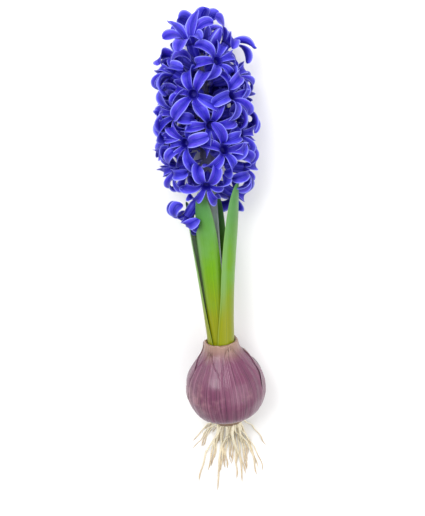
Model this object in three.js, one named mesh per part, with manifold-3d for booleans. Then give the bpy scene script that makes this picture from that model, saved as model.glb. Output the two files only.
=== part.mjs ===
// A hyacinth lifted whole and laid on its side: a tuft of roots, the bulb in its papery skin,
// five strap leaves, and a stem that carries a dense head of florets with curled-back petals.
//
// Millimetres. The origin is the middle of the small flat under the bulb, +Y runs along the
// plant from the bulb to the flower head, and +Z is up from the surface that it lies on.
//
// Every piece is first described round the plant's own spine, by a distance s along it, a
// distance out from it and an angle round it (0 to the right, 90 to the side that is up).
import * as THREE from "three";
import { mergeVertices } from "three/addons/utils/BufferGeometryUtils.js";
import Module from "manifold-3d";

const wasm = await Module();
wasm.setup();

// ---- driving dimensions ----------------------------------------------------------------

const GAP = 0.3; // between two pieces that touch
const SLIVER = 0.08; // finer detail than this is left out after a cut
const SEED = 11;

const BULB_RADIUS = 28;
const BULB_FLAT_DEPTH = 1.0; // what the resting flat takes off the bulb's side
const BULB_BASE_S = -25;
const NECK_TOP_S = 33;
const NECK_RECESS_RADIUS = 10.2;
const NECK_RECESS_S = 20; // floor of the neck's opening, where leaves and stem start

const ROOT_PLATE = { radius: 11, thickness: 4 };
const ROOTS = 11;
const ROOT_RADIUS = 0.9;
const ROOT_LENGTH = 58;

const STEM_TOP_S = 229.5;
const STEM_RADIUS = { base: 4.1, middle: 4.9, top: 2.4 };
const STALK_RADIUS = 1.5;

const LEAF_THICKNESS = 1.35;
const LEAF_REACH_S = 126; // the length over which the leaves' lean is given

const FLORETS = 33;
const HEAD_START_S = 149;
const HEAD_END_S = 224.5;
const GOLDEN_ANGLE = 137.508;
const FIRST_FLORET_ANGLE = 180;
const HANGING = { florets: 2, lower: 10, nod: 28 }; // the first ones, against those above

const TUBE_LENGTH = 19.5;
const TUBE_BEND = { from: 5, to: 11, least: 3, most: 17 }; // where, and by how many degrees
const THROAT_DEPTH = 7;
const PETALS = 6;
const PETAL_LENGTH = 25.5;
const PETAL_WIDTH = 8;
const PETAL_DEPTH = 1.3;
const PETAL_START = { out: 3.1, high: 14, lean: 8 }; // sunk in the wall of the tube

// The plant's own weight presses what lies under it flat: what would reach down to -sunk lies
// on the surface, and from this height up nothing is pressed.
const PRESS = { from: 8, sunk: 2 };

// ---- colours, from the photograph ------------------------------------------------------

const materials = {
  petal: new THREE.MeshStandardMaterial({ color: 0x3f3bc4, roughness: 0.5, metalness: 0 }),
  leaf: new THREE.MeshStandardMaterial({ color: 0x6fae3f, roughness: 0.4, metalness: 0 }),
  stem: new THREE.MeshStandardMaterial({ color: 0x8c9c80, roughness: 0.5, metalness: 0 }),
  bulb: new THREE.MeshStandardMaterial({ color: 0x7d4a5c, roughness: 0.6, metalness: 0 }),
  root: new THREE.MeshStandardMaterial({ color: 0xd9cdb0, roughness: 0.7, metalness: 0 }),
};

// ---- small helpers ---------------------------------------------------------------------

const UP = new THREE.Vector3(0, 0, 1);
const radians = THREE.MathUtils.degToRad;
const mix = THREE.MathUtils.lerp;
const smooth = THREE.MathUtils.smoothstep;

// A repeatable number from -1 to 1 for the given piece and use.
function wobble(index, use) {
  const n = Math.sin(index * 12.9898 + use * 78.233 + SEED) * 43758.5453;
  return 2 * (n - Math.floor(n)) - 1;
}

// The plant's spine at s: it leans to the left and rises from the bulb to the head.
function spine(s) {
  const lean = { slope: -0.095, bend: 0.00012 };
  const rise = { slope: 0.09, bend: -0.00036 };
  const height = BULB_RADIUS - BULB_FLAT_DEPTH;
  const p = new THREE.Vector3(
    s * (lean.slope + lean.bend * s),
    s,
    height + s * (rise.slope + rise.bend * s),
  );
  const along = new THREE.Vector3(
    lean.slope + 2 * lean.bend * s,
    1,
    rise.slope + 2 * rise.bend * s,
  ).normalize();
  const right = along.clone().cross(UP).normalize();
  const front = right.clone().cross(along);
  return { p, along, right, front };
}

// The point at s that is u to the right of the spine and v in front of it.
function place(u, s, v) {
  const { p, right, front } = spine(s);
  return p.addScaledVector(right, u).addScaledVector(front, v);
}

// A point of the part, pressed up where it would sink into the surface.
function press(point) {
  const { from, sunk } = PRESS;
  if (point.z >= from) return point;
  const deep = (from - point.z) / (from + sunk);
  const steep = (from + sunk) / from;
  const shallow = 2 - steep;
  point.z = deep < 1
    ? from * (1 - deep * (steep + (1 - steep) * deep))
    : -from * shallow * (deep - 1);
  return point;
}

// A closed three.js geometry, each of its points moved by shape(x, y, z), as a solid.
function solid(geometry, shape) {
  geometry.deleteAttribute("normal");
  geometry.deleteAttribute("uv");
  const merged = mergeVertices(geometry, 1e-4);
  const points = merged.getAttribute("position");
  for (let i = 0; i < points.count; i++) {
    const moved = shape(points.getX(i), points.getY(i), points.getZ(i));
    points.setXYZ(i, moved.x, moved.y, moved.z);
  }
  const vertProperties = new Float32Array(points.array);
  const triVerts = new Uint32Array(merged.index.array);
  const made = new wasm.Manifold(new wasm.Mesh({ numProp: 3, vertProperties, triVerts }));
  if (made.volume() > 0) return made;
  // The shape mirrors its geometry, so each face is turned round.
  for (let i = 0; i < triVerts.length; i += 3)
    [triVerts[i + 1], triVerts[i + 2]] = [triVerts[i + 2], triVerts[i + 1]];
  return new wasm.Manifold(new wasm.Mesh({ numProp: 3, vertProperties, triVerts }));
}

// The largest single body of a solid, without the slivers and loose scraps that a cut leaves.
function wholeBody(made) {
  const bodies = made.simplify(SLIVER).decompose();
  return bodies.reduce((best, body) => (body.volume() > best.volume() ? body : best));
}

// What lies on the surface is cut to a flat at height 0.
function aboveFloor(made) {
  const size = 1000;
  const floor = solid(
    new THREE.BoxGeometry(size, size, size),
    (x, y, z) => new THREE.Vector3(x, y, z - size / 2),
  );
  return made.subtract(floor);
}

function mesh(name, made, material) {
  const { vertProperties, triVerts } = made.getMesh();
  const geometry = new THREE.BufferGeometry()
    .setAttribute("position", new THREE.BufferAttribute(new Float32Array(vertProperties), 3))
    .setIndex(new THREE.BufferAttribute(new Uint32Array(triVerts), 1));
  geometry.computeVertexNormals();
  const piece = new THREE.Mesh(geometry, material);
  piece.name = name;
  return piece;
}

// ---- bulb ------------------------------------------------------------------------------

// A round bulb with a narrow neck. The neck is open, down to the floor that the leaves grow from.
function makeBulb() {
  const sides = 20;
  const outline = new THREE.SplineCurve([
    new THREE.Vector2(ROOT_PLATE.radius + 1, BULB_BASE_S),
    new THREE.Vector2(22, -20),
    new THREE.Vector2(27.3, -10),
    new THREE.Vector2(BULB_RADIUS, -1),
    new THREE.Vector2(25.4, 9),
    new THREE.Vector2(18.4, 19),
    new THREE.Vector2(13.2, 26),
    new THREE.Vector2(11.6, NECK_TOP_S),
  ]).getPoints(8);
  const profile = [
    new THREE.Vector2(0, BULB_BASE_S),
    ...outline,
    new THREE.Vector2(NECK_RECESS_RADIUS, NECK_TOP_S),
    new THREE.Vector2(NECK_RECESS_RADIUS - 0.5, NECK_RECESS_S),
    new THREE.Vector2(0, NECK_RECESS_S),
  ];
  const bulb = solid(new THREE.LatheGeometry(profile, sides), (x, y, z) => place(x, y, z));
  return aboveFloor(bulb);
}

// ---- roots -----------------------------------------------------------------------------

// One root: straight out of the plate, then down to the surface, and on along it.
function makeRoot(index) {
  const angle = radians(index * GOLDEN_ANGLE);
  const out = (ROOT_PLATE.radius - 1.5) * Math.sqrt((index + 0.5) / ROOTS);
  const start = place(
    out * Math.cos(angle),
    BULB_BASE_S - GAP - ROOT_PLATE.thickness + 1.5,
    out * Math.sin(angle),
  );
  const length = ROOT_LENGTH + 12 * wobble(index, 1);
  const splay = 2.6 * out * Math.cos(angle) + 5 * wobble(index, 2);
  const wave = 2 * wobble(index, 3);
  const landing = 0.3 + 0.012 * start.z;
  return solid(new THREE.CylinderGeometry(1, 1, 1, 3, 5), (x, y, z) => {
    const t = y + 0.5;
    const radius = ROOT_RADIUS * mix(1.15, 0.6, t);
    return new THREE.Vector3(
      start.x + splay * t ** 1.2 + wave * Math.sin(Math.PI * 2 * t) + x * radius,
      start.y - length * t,
      mix(start.z, radius / 2, smooth(t, 0, landing)) + z * radius,
    );
  });
}

// The basal plate and the roots that grow from it are one body.
function makeRootTuft() {
  const { radius, thickness } = ROOT_PLATE;
  const top = BULB_BASE_S - GAP;
  const plate = solid(new THREE.CylinderGeometry(1, 0.86, 1, 16, 1), (x, y, z) =>
    place(x * radius, top + (y - 0.5) * thickness, z * radius));
  const roots = Array.from({ length: ROOTS }, (_, index) => makeRoot(index));
  return wholeBody(aboveFloor(wasm.Manifold.union([plate, ...roots])));
}

// ---- leaves ----------------------------------------------------------------------------

// angle: where it stands round the stem. layer: how far out it starts. top: the tip's s.
// wrap: how far it reaches round at its foot, in degrees. width: across its middle.
// spread: how far out it has leant at LEAF_REACH_S. An outer leaf leans out more than the
// ones inside it, so nested leaves never meet.
const LEAVES = [
  { angle: 38, layer: 8.4, top: 146, wrap: 146, width: 16, spread: 15.5 },
  { angle: 115, layer: 6.75, top: 141, wrap: 150, width: 18, spread: 8.5 },
  { angle: 200, layer: 8.4, top: 131, wrap: 146, width: 17, spread: 11 },
  { angle: 292, layer: 6.75, top: 134, wrap: 150, width: 15, spread: 7 },
  { angle: 256, layer: 5.1, top: 122, wrap: 165, width: 13, spread: 3.5 },
];

// A thick strap, rolled round the stem at its foot, with a folded tip. The corners of its
// inner face stand out by the facets' own depth, so that the faces clear what is inside.
function makeLeaf({ angle, layer, top, wrap, width, spread }, grow = 0) {
  const columns = 4;
  const foot = NECK_RECESS_S + GAP;
  return solid(new THREE.BoxGeometry(1, 1, 1, columns, 7, 1), (x, y, z) => {
    const t = y + 0.5;
    const s = mix(foot, top, t);
    const full = mix(radians(wrap) * layer, width, smooth(t, 0, 0.4));
    const taper = Math.sqrt(Math.max(0.006, 1 - Math.max(0, (t - 0.5) / 0.5) ** 2.2));
    const reach = layer + spread * ((s - foot) / LEAF_REACH_S) ** 1.6;
    const roll = mix(reach, Math.min(reach, 8), smooth(t, 0.7, 1));
    const turn = (full * taper + grow) / roll;
    const thickness = LEAF_THICKNESS * mix(1, 0.8, smooth(t, 0.4, 1)) * Math.sqrt(taper) + grow;
    const facet = z < 0 ? 1 / Math.cos(turn / columns / 2) : 1;
    const across = radians(angle) + x * turn;
    const edge = (roll + z * thickness) * facet;
    const centre = reach - roll;
    return place(
      centre * Math.cos(radians(angle)) + edge * Math.cos(across),
      s,
      centre * Math.sin(radians(angle)) + edge * Math.sin(across),
    );
  });
}

// ---- stem and flower stalks ------------------------------------------------------------

function stemRadius(s) {
  const { base, middle, top } = STEM_RADIUS;
  return mix(mix(base, middle, smooth(s, 30, 90)), top, smooth(s, 150, STEM_TOP_S));
}

// Where a floret sits: the foot of its tube, the way it faces, its size and how far it is open.
// The lowest ones nod, and towards the tip of the head they turn up, get smaller and open less.
function floretPlace(index) {
  const share = index / (FLORETS - 1);
  const hanging = 1 - smooth(index, 0, HANGING.florets);
  const s = mix(HEAD_START_S, HEAD_END_S, share) - HANGING.lower * hanging + 1.5 * wobble(index, 1);
  const angle = radians(FIRST_FLORET_ANGLE + index * GOLDEN_ANGLE + 6 * wobble(index, 2));
  const nod = mix(-22, 5, smooth(share, 0, 0.3)) - HANGING.nod * hanging;
  const lift = radians(nod + 58 * share ** 7 + 6 * wobble(index, 3));
  const stalk = mix(5.6, 5, share) + 1.4 * wobble(index, 5);
  const { p, along, right, front } = spine(s);
  const outward = right.multiplyScalar(Math.cos(angle)).addScaledVector(front, Math.sin(angle));
  const axis = outward.clone().multiplyScalar(Math.cos(lift))
    .addScaledVector(along, Math.sin(lift));
  const root = p.clone().addScaledVector(outward, stemRadius(s) * 0.6);
  const foot = p.clone().addScaledVector(outward, stemRadius(s)).addScaledVector(axis, stalk);
  const size = mix(mix(0.94, 1.02, smooth(share, 0, 0.25)), 0.86, smooth(share, 0.8, 1));
  const open = mix(1, 0.45, smooth(share, 0.84, 1));
  return { index, root, foot, axis, along, size, open };
}

// The stem and the short stalks that carry the florets are one body.
function makeStem(places) {
  const foot = NECK_RECESS_S + GAP;
  const stem = solid(new THREE.CylinderGeometry(1, 1, 1, 8, 7), (x, y, z) => {
    const s = mix(foot, STEM_TOP_S, y + 0.5);
    return place(x * stemRadius(s), s, z * stemRadius(s));
  });
  const stalks = places.map(({ root, foot: end, axis }) => {
    const tip = end.clone().addScaledVector(axis, -GAP);
    const side = axis.clone().cross(UP).normalize();
    const other = axis.clone().cross(side);
    return solid(new THREE.CylinderGeometry(STALK_RADIUS, STALK_RADIUS, 1, 4, 1), (x, y, z) =>
      root.clone().lerp(tip, y + 0.5).addScaledVector(side, x).addScaledVector(other, z));
  });
  return wasm.Manifold.union([stem, ...stalks]);
}

// ---- florets ---------------------------------------------------------------------------

// The middle line of a petal, seen from the side: out is the distance from the floret's axis,
// high the distance along it from the tube's foot, and lean the petal's angle from the axis.
function petalLine(curl, length) {
  const steps = 30;
  const leanAt = (t) => radians(mix(PETAL_START.lean, curl, t ** 1.25));
  const line = [{ out: PETAL_START.out, high: PETAL_START.high, lean: leanAt(0) }];
  for (let i = 1; i <= steps; i++) {
    const halfway = leanAt((i - 0.5) / steps);
    line.push({
      out: line[i - 1].out + (Math.sin(halfway) * length) / steps,
      high: line[i - 1].high + (Math.cos(halfway) * length) / steps,
      lean: leanAt(i / steps),
    });
  }
  return line;
}

function petalWidth(t) {
  const grown = mix(0.4, 1, smooth(t, 0.05, 0.6));
  const taper = Math.sqrt(Math.max(0.02, 1 - Math.max(0, (t - 0.66) / 0.34) ** 2));
  return PETAL_WIDTH * grown * taper;
}

// A petal's section, from -1 to 1 across and from 0 to 1 in depth: a blade with a keel along
// its back, and the slab that just holds it.
const PETAL_SEGMENTS = 4;
const blade = new THREE.CylinderGeometry(1, 1, 1, 3, PETAL_SEGMENTS)
  .translate(0, 0, 0.5)
  .scale(1 / Math.cos(radians(30)), 1, 1 / 1.5);
const slab = new THREE.BoxGeometry(2, 1, 1, 1, PETAL_SEGMENTS, 1).translate(0, 0, 0.5);

// A floret: a six-sided tube, a little bent, with an open throat, and six petals that curl back
// from it. With grow it is the room that the floret needs, that much wider and deeper.
function makeFloret({ index, foot, axis, along, size, open }, grow = 0) {
  const side = axis.clone().cross(along).normalize();
  const other = axis.clone().cross(side);
  const spin = radians(12 * wobble(index, 4));
  const { from, to, least, most } = TUBE_BEND;
  const pivot = (from + to) / 2;
  const hinge = side.clone().applyAxisAngle(axis, Math.PI * wobble(index, 6));
  const tilt = radians(mix(least, most, Math.abs(wobble(index, 7))));
  const at = (out, high, angle, across = 0) => {
    const u = out * Math.cos(angle) - across * Math.sin(angle);
    const v = out * Math.sin(angle) + across * Math.cos(angle);
    return axis.clone().multiplyScalar(high - pivot)
      .addScaledVector(side, u)
      .addScaledVector(other, v)
      .applyAxisAngle(hinge, tilt * smooth(high, from, to))
      .addScaledVector(axis, pivot)
      .multiplyScalar(size)
      .add(foot);
  };

  const widths = [2.3, 4.0, 4.4];
  const rings = widths.length - 1;
  const tube = solid(new THREE.CylinderGeometry(1, 1, 1, PETALS, rings), (x, y, z) => {
    const t = y + 0.5;
    const onAxis = Math.hypot(x, z) < 0.01;
    const radius = onAxis ? 0 : widths[Math.round(t * rings)] + grow / 2;
    const throat = onAxis && t > 0.5 && !grow ? THROAT_DEPTH : 0;
    const high = TUBE_LENGTH * t + grow * (t - 0.5) - throat;
    return press(at(radius, high, Math.atan2(z, x) + spin));
  });

  const petals = Array.from({ length: PETALS }, (_, petal) => {
    const outer = petal % 2 === 0;
    const curl = (outer ? 252 : 218) * open + 32 * wobble(index, 10 + petal);
    const length = PETAL_LENGTH * (outer ? 1 : 0.96) * (1 + 0.05 * wobble(index, 20 + petal));
    const line = petalLine(curl, length);
    const angle = spin + radians(60 * petal + 5 * wobble(index, 30 + petal));
    const sway = 3.5 * wobble(index, 50 + petal);
    return solid(grow ? slab.clone() : blade.clone(), (x, y, z) => {
      const t = y + 0.5;
      const { out, high, lean } = line[Math.round(t * (line.length - 1))];
      const across = x * (petalWidth(t) + grow) / 2 + sway * t * t;
      const back = z * (PETAL_DEPTH + grow) - grow / 2;
      const past = t === 1 ? grow / 2 : 0;
      return press(at(
        out + back * Math.cos(lean) + past * Math.sin(lean),
        high - back * Math.sin(lean) + past * Math.cos(lean),
        angle,
        across,
      ));
    });
  });
  return wasm.Manifold.union([tube, ...petals]);
}

// ---- the whole plant -------------------------------------------------------------------

// A piece without what lies in the room that its neighbours need.
function cutClear(made, rooms) {
  const close = rooms.filter((room) => made.intersect(room).volume() > 0);
  return close.length ? made.subtract(wasm.Manifold.union(close)) : made;
}

const places = Array.from({ length: FLORETS }, (_, index) => floretPlace(index));
const stem = makeStem(places);
const leaves = LEAVES.map((leaf) => makeLeaf(leaf));

// The florets that face up most stay whole, and each one below gives way to those above it.
const rooms = LEAVES.map((leaf) => makeLeaf(leaf, 2 * GAP));
const florets = [];
for (const floret of places.toSorted((a, b) => b.axis.z - a.axis.z)) {
  florets[floret.index] = wholeBody(aboveFloor(cutClear(makeFloret(floret), rooms)));
  rooms.push(makeFloret(floret, 2 * GAP));
}

const plant = new THREE.Group();
plant.add(mesh("root_tuft", makeRootTuft(), materials.root));
plant.add(mesh("bulb", makeBulb(), materials.bulb));
leaves.forEach((made, index) => plant.add(mesh(`leaf_${index + 1}`, made, materials.leaf)));
plant.add(mesh("flower_stem", stem, materials.stem));
florets.forEach((made, index) => {
  plant.add(mesh(`floret_${String(index + 1).padStart(2, "0")}`, made, materials.petal));
});

export default plant;
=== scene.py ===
"""A hyacinth lifted whole and laid on its side: roots, bulb, strap leaves, stem and flower head.

Every piece is described in millimetres round the plant's own spine: a distance s along it, a
distance out from it and an angle round it, 0 to the right and 90 to the side that faces up.
"""

import math

import bmesh
import bpy
from bpy.props import FloatProperty, FloatVectorProperty, IntProperty, PointerProperty
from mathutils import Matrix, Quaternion, Vector


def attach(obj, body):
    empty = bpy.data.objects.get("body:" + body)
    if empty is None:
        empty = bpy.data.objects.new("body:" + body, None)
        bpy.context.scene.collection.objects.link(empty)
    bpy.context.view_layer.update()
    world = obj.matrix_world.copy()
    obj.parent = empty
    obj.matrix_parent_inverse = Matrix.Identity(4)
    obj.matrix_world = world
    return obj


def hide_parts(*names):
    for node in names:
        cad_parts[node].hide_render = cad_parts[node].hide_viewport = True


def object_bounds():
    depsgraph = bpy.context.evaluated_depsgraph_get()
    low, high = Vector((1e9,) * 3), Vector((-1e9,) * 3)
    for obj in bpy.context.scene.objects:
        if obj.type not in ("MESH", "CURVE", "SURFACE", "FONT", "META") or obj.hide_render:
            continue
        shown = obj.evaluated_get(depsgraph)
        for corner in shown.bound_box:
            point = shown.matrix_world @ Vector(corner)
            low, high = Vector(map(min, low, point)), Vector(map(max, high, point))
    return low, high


bl_info = {
    "name": "Lifted hyacinth",
    "version": (1, 0, 0),
    "blender": (4, 5, 0),
    "location": "View3D > Sidebar > Hyacinth",
    "description": "Builds a hyacinth with its bulb, laid on its side",
    "category": "Add Mesh",
}

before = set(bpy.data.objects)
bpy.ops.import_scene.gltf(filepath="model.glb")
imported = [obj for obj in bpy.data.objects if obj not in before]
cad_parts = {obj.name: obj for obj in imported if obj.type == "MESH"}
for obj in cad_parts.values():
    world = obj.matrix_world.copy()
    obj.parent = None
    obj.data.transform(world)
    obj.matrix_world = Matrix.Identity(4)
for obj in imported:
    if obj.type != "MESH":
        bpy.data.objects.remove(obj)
CAD_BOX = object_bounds()

MM = 0.001
UP = Vector((0, 0, 1))
SEED = 11
GOLDEN_ANGLE = 137.508
FIRST_ANGLE = 180  # where the spiral of florets starts round the stem
GRAIN = "grain"  # where a point lies on its petal, leaf, stem, root or skin

# Places along the spine. A point of an outline is a distance out and a place along the spine.
# The plate's points are out and down from the bulb's base, a bud's out and up from its foot.
NECK_FLOOR_S = 20.3
STEM_TOP_S = 229.5
HEAD_S = (149, 224.5)  # the stretch of stem that carries all but the lowest, hanging florets
LEAF_REACH_S = 126  # how far above the neck's floor a leaf has spread by all of its amount
BULB_BASE_S = -25
BULB_OUTLINE = [(12, -25), (22, -20), (27.3, -10), (28, -1), (25.4, 9), (18.4, 19), (13.2, 26),
                (11.6, 33)]
BULB_TOP_S = BULB_OUTLINE[-1][1]
NECK_INSIDE = [(10.9, BULB_TOP_S + 0.2), (10.2, BULB_TOP_S - 0.4), (9.9, 27), (9.7, 20),
               (4.5, 20), (0, 20)]
PLATE_OUTLINE = [(0, 0.3), (10.4, 0.3), (11, 1.4), (10.4, 2.8), (8.6, 4.2), (0, 4.3)]
BUD_OUTLINE = [(0, 0), (0.95, 0.2), (0.9, 4), (1.9, 6.5), (3.2, 11), (3.5, 14.5), (2.7, 18.5),
               (1.3, 21.2), (0, 22)]
# Outer layers of skin: the side they lie on, half of the angle they cover, and their top.
FLAKES = [
    {"angle": 62, "half": 40, "top": 30.5},
    {"angle": 128, "half": 34, "top": 27.0},
    {"angle": 205, "half": 44, "top": 29.5},
    {"angle": 300, "half": 42, "top": 31.0},
    {"angle": 352, "half": 30, "top": 24.0},
]
# Leaves: the side they stand on, their distance from the spine and their wrap round it at the
# neck, the place of the tip, their width, and how far they spread outwards.
LEAVES = [
    {"angle": 38, "layer": 8.4, "top": 146, "wrap": 146, "width": 16, "spread": 15.5},
    {"angle": 115, "layer": 6.75, "top": 141, "wrap": 150, "width": 18, "spread": 8.5},
    {"angle": 200, "layer": 8.4, "top": 131, "wrap": 146, "width": 17, "spread": 11},
    {"angle": 292, "layer": 6.75, "top": 134, "wrap": 150, "width": 15, "spread": 7},
    {"angle": 256, "layer": 5.1, "top": 122, "wrap": 165, "width": 13, "spread": 3.5},
]
FLORET_NODES = sorted(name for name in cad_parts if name.startswith("floret_"))

# Tints that the colours in the settings are blended with.
PETAL_VIOLET = (0.046, 0.017, 0.43)
# painted highlight that lightens a petal towards its curled tip
PETAL_TIP_HIGHLIGHT = (0.125, 0.118, 0.74)
# partly a petal's own pale edge colour and partly painted highlight on its curved edges
PETAL_PALE_EDGE_AND_HIGHLIGHT = (0.088, 0.080, 0.67)
# painted shade in a floret's throat and inside its tube
THROAT_PAINTED_SHADE = (0.004, 0.002, 0.17)
LEAF_VEIN = (0.040, 0.135, 0.015)
LEAF_CLOUD = (0.13, 0.30, 0.085)
LEAF_BLOOM = (0.17, 0.30, 0.15)
LEAF_RIM = (0.22, 0.36, 0.10)
STEM_LINE = (0.12, 0.13, 0.12)
STEM_SHADE = (0.020, 0.017, 0.08)
STALK_VIOLET = (0.035, 0.025, 0.26)
SKIN_RIB = (0.26, 0.10, 0.16)
SKIN_SPECK = (0.10, 0.05, 0.04)
DRY_NECK = (0.36, 0.24, 0.15)
ROOT_AGED = (0.42, 0.27, 0.13)
ROOT_FLECK = (0.38, 0.26, 0.14)
PLATE_CORK = (0.20, 0.12, 0.07)


# ---- sizes and colours that a user would change ------------------------------------------


def colour(name, description, default):
    return FloatVectorProperty(
        name=name, description=description, default=default, subtype="COLOR", min=0, max=1)


class FloretSettings(bpy.types.PropertyGroup):
    petal_length: FloatProperty(
        name="Petal length", description="Along a petal's curl, in millimetres", default=25.5)
    petal_width: FloatProperty(
        name="Petal width", description="Across a petal's widest part, in millimetres", default=9.3)
    tube_length: FloatProperty(
        name="Tube length", description="From a floret's foot to its rim, in millimetres",
        default=19.5)
    body: colour("Petal", "A petal between its middle and its edges", (0.026, 0.018, 0.47))
    middle: colour("Petal middle", "The deep stripe along a petal", (0.007, 0.003, 0.29))
    # The rim colour is partly the petal's own pale edge and partly painted highlight; its fine
    # streaks are the petal's own.
    edge: colour("Petal edge", "The pale rim of a petal", (0.235, 0.245, 0.80))


class LeafSettings(bpy.types.PropertyGroup):
    thickness: FloatProperty(
        name="Thickness", description="Of a leaf's middle, in millimetres", default=1.35)
    foot: colour("Leaf foot", "Where the leaf leaves the bulb", (0.235, 0.240, 0.002))
    low: colour("Low leaf", "The lower third of the leaf", (0.125, 0.300, 0.002))
    high: colour("High leaf", "The upper half of the leaf", (0.070, 0.225, 0.060))


class StemSettings(bpy.types.PropertyGroup):
    foot_radius: FloatProperty(name="Foot radius", description="In millimetres", default=4.1)
    middle_radius: FloatProperty(name="Middle radius", description="In millimetres", default=4.9)
    top_radius: FloatProperty(name="Top radius", description="In millimetres", default=2.4)
    bloom: colour("Stem bloom", "The pale waxy green of the stem", (0.34, 0.48, 0.44))
    tinge: colour("Stem tinge", "The purple-brown tinge of the stem", (0.19, 0.17, 0.16))


class BulbSettings(bpy.types.PropertyGroup):
    skin: colour("Skin", "The dry outer skin", (0.125, 0.026, 0.070))
    pale_skin: colour("Pale skin", "Where the skin is worn thin", (0.33, 0.16, 0.19))
    vein: colour("Vein", "The fine lines along the skin", (0.035, 0.008, 0.026))


class RootSettings(bpy.types.PropertyGroup):
    count: IntProperty(name="Roots", description="How many roots", default=46)
    length: FloatProperty(name="Length", description="Of a root, in millimetres", default=58.0)
    radius: FloatProperty(name="Radius", description="Of a root's thick end, in millimetres",
                          default=0.9)
    flesh: colour("Root", "A fresh root", (0.78, 0.70, 0.52))


class StageSettings(bpy.types.PropertyGroup):
    elevation: FloatProperty(
        name="Camera raised", description="The photograph's angle above the plant's side",
        default=math.radians(15), subtype="ANGLE")
    lens: FloatProperty(name="Lens", description="Focal length in millimetres", default=85.0)
    floor: colour("Floor", "The pale surface", (0.86, 0.86, 0.86))
    daylight: FloatProperty(
        name="Daylight", description="Strength of the light from all round", default=0.62)


# ---- shared shapes -----------------------------------------------------------------------


def mix(a, b, share):
    return a + (b - a) * share


def smooth(value, low, high):
    share = min(1.0, max(0.0, (value - low) / (high - low)))
    return share * share * (3 - 2 * share)


def wobble(index, use):
    """A repeatable number from -1 to 1 for the given piece and use."""
    number = math.sin(index * 12.9898 + use * 78.233 + SEED) * 43758.5453
    return 2 * (number - math.floor(number)) - 1


def spine(s):
    """The plant's middle line at s, with its directions along, to the right and up.

    It leans to the left on its way to the head, and rises a little and comes down again.
    """
    lean, lean_bend = -0.095, 0.00012
    rise, rise_bend = 0.09, -0.00036
    point = Vector((s * (lean + lean_bend * s), s, 27 + s * (rise + rise_bend * s)))
    along = Vector((lean + 2 * lean_bend * s, 1, rise + 2 * rise_bend * s)).normalized()
    right = along.cross(UP).normalized()
    return point, along, right, right.cross(along)


def place(u, s, v):
    """The point that lies u to the right of the spine at s, and v above it."""
    point, _, right, front = spine(s)
    return point + right * u + front * v


def press(point):
    """Lifts what would sink into the surface, so that it lies flat there."""
    start = 8.0  # the height below which a point is lifted
    sunk = 2.0  # points as deep as this, or deeper, end on the surface
    if point.z < start:
        deep = (start - point.z) / (start + sunk)
        steep = (start + sunk) / start
        point.z = start * (1 - deep * (steep + (1 - steep) * deep)) if deep < 1 else 0.0
    point.z = max(point.z, 0.0)
    return point


def add_skin(bm, columns, rows, shape):
    """A grid whose points move to what shape(u, v) gives: a place and its grain."""
    layer = bm.verts.layers.float_vector[GRAIN]
    made = bmesh.ops.create_grid(bm, x_segments=columns, y_segments=rows, size=0.5)["verts"]
    for vert in made:
        point, grain = shape(vert.co.x + 0.5, vert.co.y + 0.5)
        vert.co = point * MM
        vert[layer] = grain
    bmesh.ops.remove_doubles(bm, verts=made, dist=2e-6)


def add_tube(bm, sides, rows, shape):
    """A grid joined round into a tube: shape takes an angle and the share along it."""
    add_skin(bm, sides, rows, lambda u, v: shape(2 * math.pi * u, v))


def add_blade(bm, sides, rows, shape):
    """A closed blade: shape takes a place across it, one along it, and the face or back."""

    def wrapped(u, v):
        turn = 2 * math.pi * u
        return shape(math.cos(turn), v, math.sin(turn))

    add_skin(bm, sides, rows, wrapped)


def new_bm():
    bm = bmesh.new()
    bm.verts.layers.float_vector.new(GRAIN)
    return bm


def finish_piece(bm, name, material, slot, *nodes):
    """Closes the mesh, makes it an object and puts it in the place of its nodes."""
    open_edges = [edge for edge in bm.edges if edge.is_boundary]
    if open_edges:
        bmesh.ops.holes_fill(bm, edges=open_edges, sides=0)
    bmesh.ops.recalc_face_normals(bm, faces=bm.faces)
    for face in bm.faces:
        face.smooth = True
    mesh = bpy.data.meshes.new(name)
    bm.to_mesh(mesh)
    bm.free()
    piece = bpy.data.objects.new(name, mesh)
    bpy.context.scene.collection.objects.link(piece)
    mesh.materials.append(material)
    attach(piece, "root")
    if nodes:
        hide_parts(*nodes)


# ---- materials ---------------------------------------------------------------------------


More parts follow.
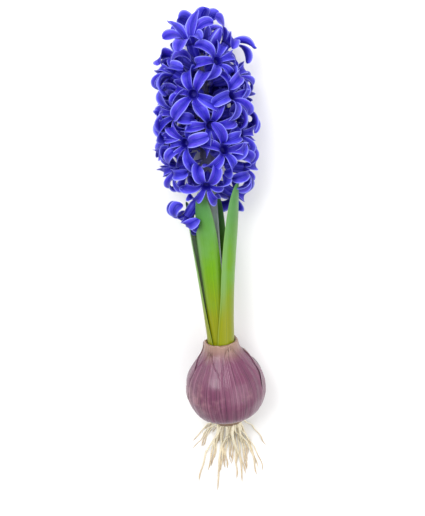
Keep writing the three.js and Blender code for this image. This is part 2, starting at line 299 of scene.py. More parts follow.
class Finish:
    """A material under construction. Inputs are values to set or sockets to link."""

    def __init__(self, name, shader):
        self.material = bpy.data.materials.new(name)
        self.material.use_nodes = True
        self.tree = self.material.node_tree
        self.tree.nodes.clear()
        self.output = self.node("ShaderNodeOutputMaterial", {})
        self.shader = self.node("ShaderNodeBsdfPrincipled", shader)
        self.link(self.shader.outputs[0], self.output.inputs["Surface"])

    def link(self, source, target):
        self.tree.links.new(source, target)

    def put(self, socket, value):
        if isinstance(value, bpy.types.NodeSocket):
            self.link(value, socket)
        elif socket.type == "RGBA" and len(value) == 3:
            socket.default_value = (*value, 1)
        else:
            socket.default_value = value

    def node(self, kind, inputs, **settings):
        made = self.tree.nodes.new(kind)
        for name, value in settings.items():
            setattr(made, name, value)
        for name, value in inputs.items():
            self.put(made.inputs[name], value)
        return made

    def grain(self):
        """The piece's own grain as a vector, then its three parts: across, along and side."""
        grain = self.node("ShaderNodeAttribute", {}, attribute_name=GRAIN)
        parts = self.node("ShaderNodeSeparateXYZ", {"Vector": grain.outputs["Vector"]})
        return grain.outputs["Vector"], *parts.outputs

    def place(self):
        """Where the point is in the piece's own space, in metres."""
        return self.node("ShaderNodeTexCoord", {}).outputs["Object"]

    def maths(self, operation, first, second=0.5):
        made = self.node("ShaderNodeMath", {}, operation=operation)
        self.put(made.inputs[0], first)
        self.put(made.inputs[1], second)
        return made.outputs[0]

    def stretch(self, vector, scale):
        return self.node(
            "ShaderNodeMapping", {"Vector": vector, "Scale": scale}).outputs["Vector"]

    def noise(self, vector, scale, detail=3.0, roughness=0.55):
        return self.node("ShaderNodeTexNoise", {
            "Vector": vector, "Scale": scale, "Detail": detail, "Roughness": roughness,
        }).outputs["Fac"]

    def span(self, value, low, high, to_low=0.0, to_high=1.0):
        """Runs smoothly from to_low to to_high while value goes from low to high."""
        return self.node("ShaderNodeMapRange", {
            "Value": value, "From Min": low, "From Max": high,
            "To Min": to_low, "To Max": to_high,
        }, interpolation_type="SMOOTHSTEP").outputs["Result"]

    def blend(self, share, first, second):
        made = self.node("ShaderNodeMix", {}, data_type="RGBA")
        self.put(made.inputs[0], share)
        self.put(made.inputs[6], first)
        self.put(made.inputs[7], second)
        return made.outputs[2]

    def done(self, base, height, bump, depth=0.0003):
        """Sets the base colour and the bump, and gives the finished material."""
        self.put(self.shader.inputs["Base Color"], base)
        made = self.node(
            "ShaderNodeBump", {"Height": height, "Strength": bump, "Distance": depth})
        self.link(made.outputs[0], self.shader.inputs["Normal"])
        return self.material


def petal_material(settings):
    """Deep blue-violet, darker in the middle, streaked, with a pale rim partly painted highlight;
    painted highlight at the tips and painted shade at the foot and throat.
    """
    finish = Finish("petal_blue_violet", {"Roughness": 0.5, "Specular IOR Level": 0.2})
    grain, across, along, _ = finish.grain()
    body = tuple(settings.body)
    middle = tuple(settings.middle)
    edge = tuple(settings.edge)
    outer = finish.maths("ABSOLUTE", across)
    streaks = finish.noise(finish.stretch(grain, (9.0, 1.3, 0.7)), 1.6, 4.0)
    blotches = finish.noise(finish.place(), 140.0, 2.0)
    wavy = finish.maths("ADD", outer, finish.maths("MULTIPLY", streaks, 0.12))
    shades = finish.noise(finish.stretch(grain, (0.0, 0.25, 0.71)), 1.3, 1.0)
    shaded = finish.blend(finish.span(shades, 0.35, 0.65), PETAL_VIOLET, body)
    # painted highlight: the petal lightens towards its curled tip
    tip_highlighted = finish.blend(finish.span(along, 0.35, 0.85, 0.0, 0.3), shaded, PETAL_TIP_HIGHLIGHT)
    striped = finish.blend(finish.span(wavy, 0.14, 0.64), middle, tip_highlighted)
    # paler towards the edges: partly the petal's own pale edge, partly painted highlight
    light = finish.blend(finish.span(wavy, 0.58, 0.95), striped, PETAL_PALE_EDGE_AND_HIGHLIGHT)
    # painted shade: the petal darkens towards its foot beside the throat
    foot_painted_shade = finish.blend(finish.span(along, 0.1, 0.5, 0.4, 0.0), light, middle)
    streaked = finish.blend(finish.span(streaks, 0.46, 0.74, 0.0, 0.24), foot_painted_shade, edge)
    mottled = finish.blend(finish.span(blotches, 0.40, 0.7, 0.0, 0.45), streaked, middle)
    # the pale rim: partly the petal's own edge colour, partly painted highlight on the rolled edge
    rim = finish.blend(finish.span(wavy, 0.84, 1.0), mottled, edge)
    # painted shade in the throat, which the inside of the tube takes too
    throat = finish.blend(finish.span(along, -0.02, 0.17), THROAT_PAINTED_SHADE, rim)
    return finish.done(throat, streaks, 0.6)


def leaf_material(settings):
    """Glossy green, yellower at the foot and bluer at the tip, with fine veins lengthwise."""
    finish = Finish("leaf_glossy_green", {
        "Roughness": 0.36, "Specular IOR Level": 0.2, "Coat Weight": 0.08,
        "Coat Roughness": 0.16})
    grain, across, along, _ = finish.grain()
    veins = finish.noise(finish.stretch(grain, (19.0, 0.5, 0.0)), 2.2, 3.0)
    cloud = finish.noise(finish.place(), 55.0, 3.0)
    drift = finish.maths("ADD", along, finish.maths("MULTIPLY", cloud, 0.16))
    low = finish.blend(finish.span(drift, 0.26, 0.66), tuple(settings.foot),
                       tuple(settings.low))
    high = finish.blend(finish.span(drift, 0.62, 1.0), low, tuple(settings.high))
    lined = finish.blend(finish.span(veins, 0.40, 0.72, 0.0, 0.55), high, LEAF_VEIN)
    upper = finish.span(along, 0.25, 0.6)
    clouds = finish.maths("MULTIPLY", finish.span(cloud, 0.4, 0.75, 0.0, 0.35), upper)
    clouded = finish.blend(clouds, lined, LEAF_CLOUD)
    waxed = finish.maths("MULTIPLY", finish.span(along, 0.22, 0.45), finish.span(along, 0.9, 0.55))
    margin = finish.maths("MULTIPLY", finish.span(across, 0.35, 0.8, 0.0, 0.4), waxed)
    bloomed = finish.blend(margin, clouded, LEAF_BLOOM)
    outer = finish.maths("ABSOLUTE", across)
    rim = finish.blend(finish.span(outer, 0.93, 1.0, 0.0, 0.5), bloomed, LEAF_RIM)
    return finish.done(rim, veins, 0.30)


def stem_material(settings):
    """Waxy grey-green, tinged higher up and then darkened by painted shade inside the head, and
    blue-violet out on the stalks.
    """
    finish = Finish("stem_waxy_green", {"Roughness": 0.46, "Specular IOR Level": 0.3})
    _, _, along, side = finish.grain()
    streaks = finish.noise(finish.stretch(finish.place(), (420.0, 18.0, 420.0)), 1.0, 3.0)
    patches = finish.noise(finish.place(), 70.0, 3.0)
    drift = finish.maths("ADD", along, finish.maths("MULTIPLY", patches, 0.5))
    base = finish.blend(finish.span(drift, 0.35, 1.15), tuple(settings.bloom),
                        tuple(settings.tinge))
    lined = finish.blend(finish.span(streaks, 0.4, 0.7, 0.0, 0.35), base, STEM_LINE)
    shaded = finish.blend(finish.span(along, 0.48, 0.66, 0.0, 0.9), lined, STEM_SHADE)
    stalk = finish.blend(finish.span(side, 0.15, 0.8), shaded, STALK_VIOLET)
    return finish.done(stalk, streaks, 0.25)


def skin_material(settings):
    """Dry papery skin, purple-brown with darker veins, worn pale in patches."""
    finish = Finish("bulb_papery_skin", {
        "Coat Weight": 0.25, "Coat Roughness": 0.22})
    grain, _, _, along = finish.grain()
    ribs = finish.noise(finish.stretch(grain, (13.0, 13.0, 0.35)), 1.5, 3.0)
    veins = finish.noise(finish.stretch(grain, (34.0, 34.0, 0.8)), 1.6, 2.0)
    patches = finish.noise(finish.place(), 38.0, 4.0, 0.6)
    specks = finish.noise(finish.place(), 420.0, 2.0)
    base = finish.blend(finish.span(patches, 0.50, 0.70, 0.0, 0.8), tuple(settings.skin),
                        tuple(settings.pale_skin))
    ribbed = finish.blend(finish.span(ribs, 0.48, 0.70, 0.0, 0.5), base, SKIN_RIB)
    veined = finish.blend(finish.span(veins, 0.52, 0.66, 0.0, 0.75), ribbed,
                          tuple(settings.vein))
    speckled = finish.blend(finish.span(specks, 0.62, 0.72, 0.0, 0.5), veined, SKIN_SPECK)
    dry_neck = finish.blend(finish.span(along, 0.78, 1.0, 0.0, 0.65), speckled, DRY_NECK)
    finish.put(finish.shader.inputs["Roughness"], finish.span(patches, 0.35, 0.65, 0.28, 0.5))
    height = finish.maths("ADD", ribs, finish.maths("MULTIPLY", veins, 0.5))
    return finish.done(dry_neck, height, 0.7, 0.0006)


def root_material(settings):
    """Pale cream roots, browner at the thin ends and in flecks, and the brown corky plate."""
    finish = Finish("root_pale_cream", {"Roughness": 0.62, "Subsurface Weight": 0.05})
    _, _, along, on_plate = finish.grain()
    flecks = finish.noise(finish.place(), 260.0, 3.0)
    drift = finish.maths("ADD", along, finish.maths("MULTIPLY", flecks, 0.5))
    aged = finish.blend(finish.span(drift, 0.7, 1.3, 0.0, 0.8), tuple(settings.flesh),
                        ROOT_AGED)
    flecked = finish.blend(finish.span(flecks, 0.58, 0.75, 0.0, 0.5), aged, ROOT_FLECK)
    plate = finish.blend(on_plate, flecked, PLATE_CORK)
    return finish.done(plate, flecks, 0.5)


def floor_material(settings):
    """A matte pale surface with the faintest mottling."""
    finish = Finish("floor_pale", {"Roughness": 0.85})
    cloud = finish.noise(finish.place(), 3.0, 2.0)
    shade = 0.985
    base = finish.blend(finish.span(cloud, 0.3, 0.7), tuple(settings.floor),
                        tuple(shade * part for part in settings.floor))
    return finish.done(base, finish.noise(finish.place(), 900.0, 2.0), 0.02)


# ---- bulb --------------------------------------------------------------------------------


def curve_through(points, steps):
    """Points on a smooth curve through the given ones, spaced alike between each two."""
    made = []
    for index in range(len(points) - 1):
        around = [Vector(points[min(max(index + k, 0), len(points) - 1)]) for k in (-1, 0, 1, 2)]
        p0, p1, p2, p3 = around
        for step in range(steps):
            t = step / steps
            made.append(0.5 * (
                2 * p1 + (p2 - p0) * t + (2 * p0 - 5 * p1 + 4 * p2 - p3) * t ** 2
                + (3 * p1 - p0 - 3 * p2 + p3) * t ** 3))
    made.append(Vector(points[-1]))
    return made


BULB_CURVE = curve_through(BULB_OUTLINE, 8)


def bulb_radius(s):
    """How far out the bulb's skin is at s."""
    for low, high in zip(BULB_CURVE, BULB_CURVE[1:]):
        if low.y <= s <= high.y:
            return mix(low.x, high.x, (s - low.y) / (high.y - low.y))
    return BULB_CURVE[0].x if s < BULB_CURVE[0].y else BULB_CURVE[-1].x


def skin_swell(angle, s):
    """The unevenness of the skin: broad lobes and the ribs of the scales under it."""
    middle = smooth(s, BULB_BASE_S, -12) * (1 - smooth(s, 16, 30))
    lobes = 0.45 * math.sin(2 * angle + 0.6) + 0.35 * math.sin(3 * angle + 2.0)
    ribs = 0.13 * math.sin(19 * angle + 1.5 * math.sin(0.12 * s)) + 0.08 * math.sin(31 * angle)
    return middle * (lobes - 0.6) + (0.35 + 0.65 * middle) * ribs


def skin_point(angle, s, radius):
    """A point of the skin, flat where it rests on the surface, and its grain."""
    point = place(radius * math.cos(angle), s, radius * math.sin(angle))
    point.z = max(point.z, 0.0)
    up_bulb = (s - BULB_BASE_S) / (BULB_TOP_S - BULB_BASE_S)
    return point, Vector((math.cos(angle), math.sin(angle), up_bulb))


def neck_edge(angle):
    """How far the torn rim of the neck stands short of its full height."""
    return 0.9 + 0.5 * math.sin(5 * angle + 1) + 0.35 * math.sin(13 * angle)


class HYACINTH_OT_bulb(bpy.types.Operator):
    """Adds the round bulb in its papery skin, with loose flakes at the neck."""

    bl_idname = "hyacinth.bulb"
    bl_label = "Bulb"

    base_radius = 6.0
    skin_from = 10.5  # points nearer the spine than this stay smooth
    steps_round = 112
    widest_flake = 28.3
    flake_grain = 0.013  # moves the pattern from one flake to the next

    def execute(self, context):
        material = skin_material(context.scene.hyacinth_bulb)
        bm = new_bm()
        self.add_body(bm)
        finish_piece(bm, "bulb_body", material, "bulb_skin", "bulb")
        flakes = new_bm()
        for index, flake in enumerate(FLAKES):
            self.add_flake(flakes, index, flake)
        finish_piece(flakes, "bulb_flakes", material, "bulb_skin")
        return {"FINISHED"}

    def add_body(self, bm):
        """The outline spun round, then made uneven, with a torn rim at the neck."""
        layer = bm.verts.layers.float_vector[GRAIN]
        outline = [(0, BULB_BASE_S), (self.base_radius, BULB_BASE_S), *BULB_CURVE, *NECK_INSIDE]
        verts = [bm.verts.new((out, 0, s)) for out, s in outline]
        edges = [bm.edges.new(pair) for pair in zip(verts, verts[1:])]
        bmesh.ops.spin(bm, geom=verts + edges, cent=(0, 0, 0), axis=(0, 0, 1),
                       angle=2 * math.pi, steps=self.steps_round, use_merge=True)
        bmesh.ops.remove_doubles(bm, verts=bm.verts, dist=1e-4)
        for vert in bm.verts:
            radius = math.hypot(vert.co.x, vert.co.y)
            angle = math.atan2(vert.co.y, vert.co.x)
            s = vert.co.z
            if radius > self.skin_from:
                radius += skin_swell(angle, s)
                s -= neck_edge(angle) * smooth(s, 27, BULB_TOP_S)
            point, grain = skin_point(angle, s, radius)
            vert.co = point * MM
            vert[layer] = grain

    def add_flake(self, bm, index, flake):
        """One outer layer of skin, from the base to the neck, lifting at its ragged edges."""
        foot = BULB_BASE_S + 1.5
        middle = math.radians(flake["angle"])
        half = math.radians(flake["half"])

        def shape(across, t, side):
            ragged = 0.07 * math.sin(9 * t + index) + 0.035 * math.sin(23 * t + 2 * index)
            tongue = smooth(t, 0, 0.2) * (1 - 0.75 * smooth(t, 0.62, 1))
            angle = middle + across * half * (tongue + ragged * smooth(t, 0.1, 0.3))
            torn = 1.6 * math.sin(7 * across + index) + 0.8 * math.sin(19 * across + 3 * index)
            s = mix(foot, flake["top"] + torn, t)
            loose = 0.5 * abs(across) ** 8 + 0.5 * smooth(t, 0.88, 1)
            lift = 0.12 + loose * smooth(t, 0.3, 0.7)
            thin = 0.10 * (1 - (2 * t - 1) ** 8) * side
            radius = bulb_radius(s) + skin_swell(angle, s) + lift + thin
            point, grain = skin_point(angle, s, min(radius, self.widest_flake))
            return point, grain + Vector((0, 0, self.flake_grain * (index + 1)))

        add_blade(bm, 52, 60, shape)


# ---- roots -------------------------------------------------------------------------------


class HYACINTH_OT_roots(bpy.types.Operator):
    """Adds the basal plate and the roots that grow from it."""

    bl_idname = "hyacinth.roots"
    bl_label = "Roots"

    plate_steps = 4
    coarse = 12  # how many roots are as thick and long as the settings say
    ring = 9.5  # how far out the outermost roots start
    start_depth = 2.8

    def execute(self, context):
        settings = context.scene.hyacinth_roots
        bm = new_bm()
        self.add_plate(bm)
        for index in range(settings.count):
            self.add_root(bm, settings, index)
        finish_piece(bm, "root_tuft_fine", root_material(settings), "root", "root_tuft")
        return {"FINISHED"}

    def add_plate(self, bm):
        """The corky disc under the bulb, with a rounded, knobbly rim."""
        path = curve_through(PLATE_OUTLINE, self.plate_steps)

        def shape(angle, t):
            out, down = path[round(t * (len(path) - 1))]
            out += (0.35 * math.sin(15 * angle) + 0.2 * math.sin(24 * angle)) * smooth(out, 4, 10)
            out = max(out, 0)
            point = place(out * math.cos(angle), BULB_BASE_S - down, out * math.sin(angle))
            return point, Vector((math.cos(angle), 0.2, 1.0))

        add_tube(bm, 60, len(path) - 1, shape)

    def add_root(self, bm, settings, index):
        """One root: straight out of the plate, down to the surface, and on along it."""
        angle = math.radians(index * GOLDEN_ANGLE)
        out = self.ring * math.sqrt((index + 0.5) / self.coarse)
        length = settings.length + 12 * wobble(index, 1)
        thick = settings.radius
        if index >= self.coarse:
            angle += 1.0
            rank = (index - self.coarse + 0.5) / (settings.count - self.coarse)
            out = self.ring * math.sqrt(rank)
            length = settings.length * (0.62 + 0.36 * wobble(index, 7))
            thick *= mix(0.55, 0.85, abs(wobble(index, 4)))
        start = place(out * math.cos(angle), BULB_BASE_S - self.start_depth,
                      out * math.sin(angle))
        splay = 1.9 * out * math.cos(angle) + 4 * wobble(index, 2)
        wave = 2 * wobble(index, 3)
        kink, ripple = 0.5 * wobble(index, 5), 0.5 * wobble(index, 6)
        landing = 0.3 + 0.012 * start.z  # the share of its length where it meets the surface

        def shape(turn, t):
            knobs = 1 + 0.08 * math.sin(40 * t + index)
            radius = thick * mix(1.1, 0.45, t) * (1 - smooth(t, 0.93, 1)) * knobs
            x = start.x + splay * t ** 1.2 + wave * math.sin(2 * math.pi * t)
            x += (kink * math.sin(11 * t + index) + ripple * math.sin(23 * t)) * smooth(t, 0, 0.2)
            z = mix(start.z, thick * mix(1.0, 0.45, t), smooth(t, 0, landing))
            z += 0.5 * abs(math.sin(9 * t + index)) * smooth(t, 0.5, 0.8)
            point = Vector((x + radius * math.cos(turn), start.y - length * t,
                            max(z + radius * math.sin(turn), 0.0)))
            return point, Vector((math.cos(turn), t, 0.0))

        add_tube(bm, 8, 26, shape)


# ---- leaves ------------------------------------------------------------------------------


class HYACINTH_OT_leaves(bpy.types.Operator):
    """Adds the five strap leaves, nested round the stem at the neck."""

    bl_idname = "hyacinth.leaves"
    bl_label = "Leaves"

    def execute(self, context):
        settings = context.scene.hyacinth_leaves
        material = leaf_material(settings)
        for index, leaf in enumerate(LEAVES):
            bm = new_bm()
            self.add_leaf(bm, settings, leaf)
            finish_piece(bm, f"leaf_blade_{index + 1}", material, "leaf", f"leaf_{index + 1}")
        return {"FINISHED"}

    def add_leaf(self, bm, settings, leaf):
        """A strap that wraps round the neck at its foot, opens out, and rounds off at its tip."""
        middle = math.radians(leaf["angle"])
        foot_width = math.radians(leaf["wrap"]) * leaf["layer"]

        def shape(across, v, side):
            t = 1 - (1 - v) ** 1.25
            s = mix(NECK_FLOOR_S, leaf["top"], t)
            full = mix(foot_width, leaf["width"], smooth(t, 0, 0.4))
            taper = math.sqrt(max(0.0, 1 - max(0.0, (t - 0.55) / 0.45) ** 2.3))
            reach = leaf["layer"] + leaf["spread"] * ((s - NECK_FLOOR_S) / LEAF_REACH_S) ** 1.6
            roll = mix(reach, min(reach, 8), smooth(t, 0.7, 1))
            turn = full * taper / roll
            thickness = settings.thickness * mix(1, 0.8, smooth(t, 0.4, 1)) * math.sqrt(taper)
            thickness *= 1.06 - 0.5 * across ** 4
            groove = -0.16 * math.exp(-(across / 0.10) ** 2) * smooth(t, 0.15, 0.5)
            ribs = 0.035 * math.cos(across * 26)
            edge = roll + side * (thickness / 2 + ribs) + (groove if side < 0 else 0)
            angle = middle + across * turn / 2
            centre = reach - roll
            point = place(
                centre * math.cos(middle) + edge * math.cos(angle), s,
                centre * math.sin(middle) + edge * math.sin(angle))
            return point, Vector((across, t, side))

        add_blade(bm, 56, 80, shape)


# ---- stem --------------------------------------------------------------------------------


def stem_radius(settings, s):
    """The stem's radius at s: greatest in the middle of its length and least at its tip."""
    low = mix(settings.foot_radius, settings.middle_radius, smooth(s, 30, 90))
    return mix(low, settings.top_radius, smooth(s, 150, STEM_TOP_S))


def floret_place(stem, index):
    """Where a floret sits, on a spiral that closes up and turns upwards towards the tip.

    Gives its stalk's root, its foot, the directions outward, along its axis and along the
    stem, its size, and how far it is open.
    """
    share = index / (len(FLORET_NODES) - 1)
    hanging = 1 - smooth(index, 0, 2)  # how far the two lowest florets droop below the head
    s = mix(*HEAD_S, share) - 10 * hanging + 1.5 * wobble(index, 1)
    angle = math.radians(FIRST_ANGLE + index * GOLDEN_ANGLE + 6 * wobble(index, 2))
    nod = mix(-22, 5, smooth(share, 0, 0.3)) - 28 * hanging
    lift = math.radians(nod + 58 * share ** 7 + 6 * wobble(index, 3))
    point, along, right, front = spine(s)
    outward = right * math.cos(angle) + front * math.sin(angle)
    axis = outward * math.cos(lift) + along * math.sin(lift)
    root = point + outward * stem_radius(stem, s) * 0.6
    stalk = mix(5.6, 5, share) + 1.4 * wobble(index, 5)
    foot = point + outward * stem_radius(stem, s) + axis * stalk
    size = mix(mix(0.94, 1.02, smooth(share, 0, 0.25)), 0.86, smooth(share, 0.8, 1))
    opened = mix(1, 0.45, smooth(share, 0.84, 1))
    return root, foot, outward, axis, along, size, opened


class HYACINTH_OT_stem(bpy.types.Operator):
    """Adds the stem and the short stalks that carry the florets."""

    bl_idname = "hyacinth.stem"
    bl_label = "Stem"

    def execute(self, context):
        settings = context.scene.hyacinth_stem
        bm = new_bm()
        self.add_stem(bm, settings)
        for index in range(len(FLORET_NODES)):
            self.add_stalk(bm, settings, index)
        finish_piece(bm, "stem_and_stalks", stem_material(settings), "stem", "flower_stem")
        return {"FINISHED"}

    def add_stem(self, bm, settings):
        """A round stem with faint ridges, closed at its foot and rounded at its tip."""

        def shape(turn, t):
            s = mix(NECK_FLOOR_S, STEM_TOP_S, t)
            ridges = 1 + 0.018 * math.sin(7 * turn + 0.03 * s) + 0.012 * math.sin(12 * turn)
            end = math.sqrt(max(0.0, 1 - smooth(t, 0.985, 1))) * (1 if t > 0 else 0)
            radius = stem_radius(settings, s) * ridges * end
            point = place(radius * math.cos(turn), s, radius * math.sin(turn))
            return point, Vector((math.cos(turn), t, 0.0))

        add_tube(bm, 40, 130, shape)

    def add_stalk(self, bm, settings, index):
        """A short stalk that leaves the stem square to it and bends to the floret's foot."""
        root, foot, outward, *_ = floret_place(settings, index)
        squared = 2.4  # how far it keeps going straight out
        bend = root + outward * squared

        def shape(turn, t):
            middle = root * (1 - t) ** 2 + bend * (2 * t * (1 - t)) + foot * t ** 2
            heading = ((bend - root) * (1 - t) + (foot - bend) * t).normalized()
            side = heading.cross(UP).normalized()
            other = heading.cross(side)
            radius = 1.15 + 0.55 * (1 - smooth(t, 0, 0.35)) + 0.35 * smooth(t, 0.7, 1)
            radius *= 0 if t in (0, 1) else 1  # closed at both ends
            point = middle + (side * math.cos(turn) + other * math.sin(turn)) * radius
            return press(point), Vector((math.cos(turn), 0.6, t))

        add_tube(bm, 10, 12, shape)


# ---- florets -----------------------------------------------------------------------------


def petal_line(start, curl, bow, length, steps):
    """The middle line of a petal from the side: out from the axis, high along it, and lean."""

    def lean(t):
        return math.radians(mix(8, curl, t ** bow))

    line = [(*start, lean(0))]
    for step in range(steps):
        halfway = lean((step + 0.5) / steps)
        out, high, _ = line[-1]
        line.append((out + math.sin(halfway) * length / steps,
                     high + math.cos(halfway) * length / steps,
                     lean((step + 1) / steps)))
    return line


class HYACINTH_OT_florets(bpy.types.Operator):
    """Adds the florets, each a tube with six petals that curl back, and the buds at the tip."""

    bl_idname = "hyacinth.florets"
    bl_label = "Florets"

    rows = 28  # steps along a petal
    petal_root = (2.7, 14.0)  # out from the floret's axis and high along it
    outer_curl, inner_curl = 252, 218  # degrees from a petal's foot to its tip
    sway_power = 1.7
    fuller_below, fuller_at_tip = 1.16, 1.22  # petals of florets that face down, or top the head
    curl_tries = (0, -15, 15, -30, 30, -50, 50, -75, 75)  # degrees added to a petal's curl
    throat_heights = (12, 14.5, 17)
    throat_clearance = 5.5
    throat_row = 10  # the first row that is kept clear of other throats
    box_row = 6  # the first row that is kept inside the box
    box_margin = 0.5
    buds = 3

    def execute(self, context):
        settings = context.scene.hyacinth_florets
        stem = context.scene.hyacinth_stem
        material = petal_material(settings)
        frames = [self.floret_frame(stem, index) for index in range(len(FLORET_NODES))]
        throats = [[at(0, high, 0) for high in self.throat_heights] for at, *_ in frames]
        for index, node in enumerate(FLORET_NODES):
            bm = new_bm()
            at, opened, facing = frames[index]
            self.add_cup(bm, settings, at, index)
            others = [spot for other, spots in enumerate(throats) if other != index
                      for spot in spots]
            for petal in range(6):
                self.add_petal(bm, settings, at, opened, facing, index, petal, others)
            finish_piece(bm, f"bloom_{index + 1:02d}", material, "petal", node)
        buds = new_bm()
        for number in range(self.buds):
            self.add_bud(buds, stem, number)
        finish_piece(buds, "tip_buds", material, "petal")
        return {"FINISHED"}

    def floret_frame(self, stem, index):
        """Gives a function that places a point round the bent floret, how far the floret is
        open, and how much it faces up.
        """
        _, foot, _, axis, along, size, opened = floret_place(stem, index)
        side = axis.cross(along).normalized()
        other = axis.cross(side)
        bend_from, bend_to = 5.0, 11.0  # the stretch of the tube that bends
        pivot = (bend_from + bend_to) / 2
        hinge = Quaternion(axis, math.pi * wobble(index, 6)) @ side
        tilt = math.radians(mix(3, 17, abs(wobble(index, 7))))

        def at(out, high, angle, across=0.0):
            """Out from the axis, high along it, round it, and across that way out."""
            u = out * math.cos(angle) - across * math.sin(angle)
            v = out * math.sin(angle) + across * math.cos(angle)
            turned = Quaternion(hinge, tilt * smooth(high, bend_from, bend_to)) @ (
                axis * (high - pivot) + side * u + other * v)
            return press((turned + axis * pivot) * size + foot)

        return at, opened, axis.z

    def add_cup(self, bm, settings, at, index):
        """The tube, swollen at its foot, ribbed under each petal, and open at its throat."""
        length = settings.tube_length
        throat_from = 0.62  # the share of the path where it turns down into the throat
        spin = math.radians(12 * wobble(index, 4))
        path = curve_through([
            (0.0, 0.0), (2.1, 0.25), (3.5, 3.0), (4.05, 7.5), (3.75, 11.5), (3.6, 15.2),
            (3.3, length - 3.2), (2.8, length - 3.6), (2.3, length - 5.5),
            (1.9, length - 6.7), (0.0, length - 7.2)], 3)

        def shape(turn, t):
            out, high = path[round(t * (len(path) - 1))]
            petal_wave = math.cos(6 * (turn - spin))
            ribs = 1 + 0.045 * petal_wave * smooth(out, 2, 4)
            # inside the throat the tube's grain picks up the throat's painted shade
            along = 0.0 if t > throat_from else 0.3
            return at(max(out, 0) * ribs, high, turn), Vector((
                0.5 - 0.35 * petal_wave, along, -1.0))

        add_tube(bm, 24, len(path) - 1, shape)

    def add_bud(self, bm, stem, number):
        """A small closed bud, where the spiral of florets runs out at the tip of the stem.

        Each next bud sits higher, points up more and is smaller.
        """
        s = HEAD_S[1] + 1.8 * number
        angle = math.radians(FIRST_ANGLE + (len(FLORET_NODES) + number) * GOLDEN_ANGLE)
        lift = math.radians(56 + 9 * number)
        point, along, right, front = spine(s)
        outward = right * math.cos(angle) + front * math.sin(angle)
        axis = outward * math.cos(lift) + along * math.sin(lift)
        side = axis.cross(along).normalized()
        other = axis.cross(side)
        foot = point + outward * (stem_radius(stem, s) - 0.6)
        size = 1.12 - 0.12 * number
        path = curve_through(BUD_OUTLINE, 3)
        petals = 3  # those that show on the outside of a bud

        def shape(turn, t):
            out, high = path[round(t * (len(path) - 1))]
            fold = abs(2 * (petals * turn / (2 * math.pi) % 1) - 1)  # 1 where two petals meet
            around = max(out, 0) * (1.05 - 0.16 * fold ** 3)
            point = foot + (axis * high + (side * math.cos(turn) + other * math.sin(turn))
                            * around) * size
            return point, Vector((fold, 0.35 + 0.5 * t, 3.0 * number))

        add_tube(bm, 24, len(path) - 1, shape)

    def settled_line(self, at, angle, curl, bow, length, sway, others):
        """The petal's middle line, curled to keep out of other throats and inside the box.

        Gives the line, and how far it reaches beyond the box.
        """
        box_low, box_high = CAD_BOX
        best = None
        for more in self.curl_tries:
            line = petal_line(self.petal_root, curl + more, bow, length, self.rows)
            spots = [at(out, high, angle, sway * (step / self.rows) ** self.sway_power)
                     for step, (out, high, _) in enumerate(line)]
            gap = min((spot - other).length for spot in spots[self.throat_row:]
                      for other in others)
            beyond = max(max(box_low[side] / MM - spot[side], spot[side] - box_high[side] / MM)
                         for spot in spots[self.box_row:] for side in range(3))
            score = min(gap, self.throat_clearance) - 2 * max(beyond + self.box_margin, 0)
            if best is None or score > best[0] + 0.01:
                best = (score, line, beyond)
        return best[1:]

    def add_petal(self, bm, settings, at, opened, facing, index, petal, others):
        """A fleshy blade, hollowed along its face and rolled back, widest near its blunt tip."""
        outer = petal % 2 == 0
        full_curl = self.outer_curl if outer else self.inner_curl
        curl = full_curl * opened + 42 * wobble(index, 10 + petal)
        length = settings.petal_length * (1 if outer else 0.96)
        length *= 1 + 0.05 * wobble(index, 20 + petal)
        bow = 1.15 + 0.25 * wobble(index, 70 + petal)
        angle = math.radians(12 * wobble(index, 4) + 60 * petal + 5 * wobble(index, 30 + petal))
        twist = math.radians(62 * wobble(index, 40 + petal))
        sway = 7 * wobble(index, 50 + petal)
        hollow = 0.85 + 0.3 * wobble(index, 60 + petal)
        line, beyond = self.settled_line(at, angle, curl, bow, length, sway, others)
        twist *= mix(1, 0.4, smooth(beyond, -4, -0.5))
        fullness = mix(1, self.fuller_below, smooth(-facing, -0.1, 0.6))
        fullness *= mix(self.fuller_at_tip, 1, smooth(opened, 0.6, 1))
        streak = 3 * index + petal

        def shape(across, t, side):
            out, high, lean = line[round(t * self.rows)]
            grown = mix(0.44, 1, smooth(t, 0.05, 0.6))
            taper = math.sqrt(max(0.0, 1 - max(0.0, (t - 0.66) / 0.34) ** 2.1))
            half = settings.petal_width / 2 * fullness * grown * taper
            bent = hollow * (1 + 0.5 * smooth(t, 0.8, 1))
            wide = half * math.sin(bent * across) / bent
            rise = half * (1 - math.cos(bent * across)) / bent - 0.25 * half * bent
            groove = 0.2 * math.exp(-(across / 0.16) ** 2) * smooth(t, 0.1, 0.3) * taper
            thick = mix(0.48, 0.17, across ** 2) * taper ** 0.5
            rise += side * thick - (groove if side > 0 else -0.5 * groove)
            rise += 0.22 * across ** 3 * math.sin(11 * t + streak) * taper
            turn = twist * smooth(t, 0.15, 0.95)
            aside = wide * math.cos(turn) - rise * math.sin(turn) + sway * t ** self.sway_power
            back = 0.45 - wide * math.sin(turn) - rise * math.cos(turn)
            point = at(out + back * math.cos(lean), high - back * math.sin(lean), angle, aside)
            return point, Vector((across, t, streak))

        add_blade(bm, 20, self.rows, shape)


# ---- stage -------------------------------------------------------------------------------


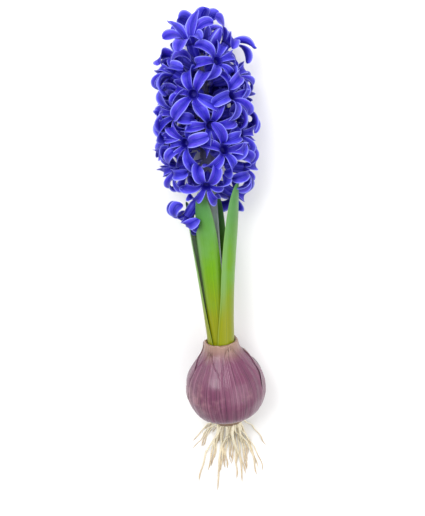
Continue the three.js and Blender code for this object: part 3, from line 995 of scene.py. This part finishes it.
class HYACINTH_OT_stage(bpy.types.Operator):
    """Adds the pale floor, the soft lights and the camera that looks down on the plant."""

    bl_idname = "hyacinth.stage"
    bl_label = "Stage"

    floor_half = 3  # metres
    framed = 0.98  # the height that the picture spans at the plant, as a share of its length
    moved_up = 0.030  # how far the camera is moved towards the head, as a share of the length
    lights = [
        {"name": "key", "from": (-0.55, 0.55, 1.0), "size": 0.8, "power": 15},
        {"name": "fill", "from": (0.75, -0.15, 0.8), "size": 1.0, "power": 7},
        {"name": "rim", "from": (0.1, 1.0, 0.5), "size": 0.7, "power": 5},
    ]

    def execute(self, context):
        settings = context.scene.hyacinth_stage
        scene = context.scene
        low, high = CAD_BOX
        middle = Vector([(a + b) / 2 for a, b in zip(low, high)])
        self.add_floor(scene, settings)
        self.add_camera(scene, settings, middle, high[1] - low[1])
        for light in self.lights:
            self.add_light(scene, light, middle)
        world = bpy.data.worlds.new("studio")
        world.use_nodes = True
        world.node_tree.nodes["Background"].inputs["Color"].default_value = (1, 1, 1, 1)
        world.node_tree.nodes["Background"].inputs["Strength"].default_value = settings.daylight
        scene.world = world
        scene.view_settings.view_transform = "Standard"
        return {"FINISHED"}

    def add_floor(self, scene, settings):
        """A level pale square, far wider than the picture."""
        bm = new_bm()
        bmesh.ops.create_grid(bm, x_segments=2, y_segments=2, size=self.floor_half)
        mesh = bpy.data.meshes.new("floor")
        bm.to_mesh(mesh)
        bm.free()
        mesh.materials.append(floor_material(settings))
        floor = bpy.data.objects.new("floor", mesh)
        scene.collection.objects.link(floor)

    def add_camera(self, scene, settings, middle, length):
        """Looks down on the plant, from as far above its side as in the photograph."""
        data = bpy.data.cameras.new("camera")
        data.lens = settings.lens
        data.clip_end = 20
        distance = length * self.framed / 2 / math.tan(data.angle / 2)
        direction = Vector((0, math.sin(settings.elevation), math.cos(settings.elevation)))
        camera = bpy.data.objects.new("camera", data)
        camera.location = middle + Vector((0, self.moved_up * length, 0)) + direction * distance
        camera.rotation_euler = (-settings.elevation, 0, 0)
        scene.collection.objects.link(camera)
        scene.camera = camera

    def add_light(self, scene, light, target):
        """A soft square light. Its place is given from the target that it shines at."""
        data = bpy.data.lights.new(light["name"], "AREA")
        data.size = light["size"]
        data.energy = light["power"]
        lamp = bpy.data.objects.new(light["name"], data)
        lamp.location = target + Vector(light["from"])
        lamp.rotation_euler = (target - lamp.location).to_track_quat("-Z", "Y").to_euler()
        scene.collection.objects.link(lamp)


# ---- the add-on --------------------------------------------------------------------------

OPERATORS = (HYACINTH_OT_stage, HYACINTH_OT_bulb, HYACINTH_OT_roots, HYACINTH_OT_leaves,
             HYACINTH_OT_stem, HYACINTH_OT_florets)
SETTINGS = {
    "hyacinth_florets": FloretSettings,
    "hyacinth_leaves": LeafSettings,
    "hyacinth_stem": StemSettings,
    "hyacinth_bulb": BulbSettings,
    "hyacinth_roots": RootSettings,
    "hyacinth_stage": StageSettings,
}


class HYACINTH_PT_panel(bpy.types.Panel):
    """Lists the pieces of the hyacinth and their settings."""

    bl_label = "Hyacinth"
    bl_space_type = "VIEW_3D"
    bl_region_type = "UI"
    bl_category = "Hyacinth"

    def draw(self, context):
        for operator in OPERATORS:
            self.layout.operator(operator.bl_idname)
        for name, group in SETTINGS.items():
            box = self.layout.box()
            for prop in group.__annotations__:
                box.prop(getattr(context.scene, name), prop)


def register():
    for group in SETTINGS.values():
        bpy.utils.register_class(group)
    for kind in (*OPERATORS, HYACINTH_PT_panel):
        bpy.utils.register_class(kind)
    for name, group in SETTINGS.items():
        setattr(bpy.types.Scene, name, PointerProperty(type=group))


def unregister():
    for name in SETTINGS:
        delattr(bpy.types.Scene, name)
    for kind in (*OPERATORS, HYACINTH_PT_panel):
        bpy.utils.unregister_class(kind)
    for group in SETTINGS.values():
        bpy.utils.unregister_class(group)


def main():
    register()
    bpy.ops.hyacinth.stage()
    bpy.ops.hyacinth.bulb()
    bpy.ops.hyacinth.roots()
    bpy.ops.hyacinth.leaves()
    bpy.ops.hyacinth.stem()
    bpy.ops.hyacinth.florets()


if __name__ == "__main__":
    main()
